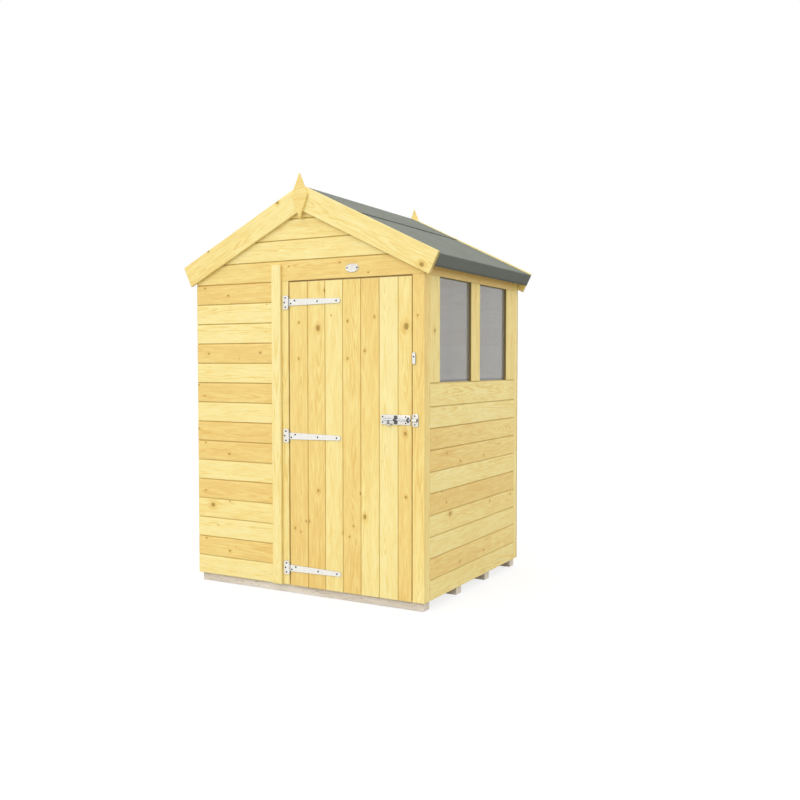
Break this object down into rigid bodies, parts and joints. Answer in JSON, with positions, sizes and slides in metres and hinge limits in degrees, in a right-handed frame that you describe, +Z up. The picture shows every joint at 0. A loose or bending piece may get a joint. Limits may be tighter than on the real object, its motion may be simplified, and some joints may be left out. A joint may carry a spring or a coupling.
{
  "type": "wooden garden shed",
  "caption": "Small apex garden shed of tongue and groove boards with a ledged door on tee hinges, a padbolt, side windows and a felted roof.",
  "frame": {"origin": "on the ground under the middle of the shed", "axes": "+Z up, the door wall faces -Y, and the windows face +X"},
  "size_m": [1.704, 1.358, 2.348],
  "materials": {
    "pine": "planed softwood, light golden treatment",
    "sawn_timber": "rough sawn, pressure treated",
    "framing": "planed softwood",
    "roofing_felt": "mineral faced bitumen felt",
    "hardware": "bright galvanised steel",
    "glazing": "clear"
  },
  "bodies": {
    "shed": {"bearers": "sawn_timber", "floor_boards": "sawn_timber", "front_cladding": "pine", "front_gable": "pine", "hinge_strip": "pine", "latch_strip": "pine", "cover_strip": "pine", "front_studs": "framing", "front_rails": "framing", "back_cladding": "pine", "back_studs": "framing", "back_rails": "framing", "corner_trims": "pine", "left_cladding": "pine", "left_studs": "framing", "left_rails": "framing", "right_cladding": "pine", "window_stiles": "pine", "window_head": "pine", "window_glass": "glazing", "right_studs": "framing", "right_rails": "framing", "ridge_beam": "framing", "rafters": "framing", "purlins": "framing", "roof_boards_left": "pine", "roof_boards_right": "pine", "fascia_left": "pine", "fascia_right": "pine", "felt_left": "roofing_felt", "felt_right": "roofing_felt", "felt_ridge": "roofing_felt", "bargeboards_left": "pine", "bargeboards_right": "pine", "finials": "pine", "name_plate": "hardware", "hinge_plates": "hardware", "bolt_keeper": "hardware"},
    "door": {"door_boards": "pine", "door_ledges": "pine", "door_braces": "pine", "hinge_straps": "hardware", "bolt_plate": "hardware"},
    "bolt": {"bolt_rod": "hardware"},
    "button": {"turn_button": "hardware"}
  },
  "joints": [
    {"name": "door_hinge", "type": "hinge", "parent": "shed", "child": "door", "pos_m": [-0.0945, -0.6555, 0.896], "axis": [0, 0, -1], "range_deg": [0, 135]},
    {"name": "bolt_slide", "type": "slide", "parent": "door", "child": "bolt", "axis": [1, 0, 0], "range_m": [0, 0.033]},
    {"name": "button_turn", "type": "hinge", "parent": "shed", "child": "button", "pos_m": [0.701, -0.651, 1.336], "axis": [0, 1, 0], "range_deg": [0, 90]}
  ]
}
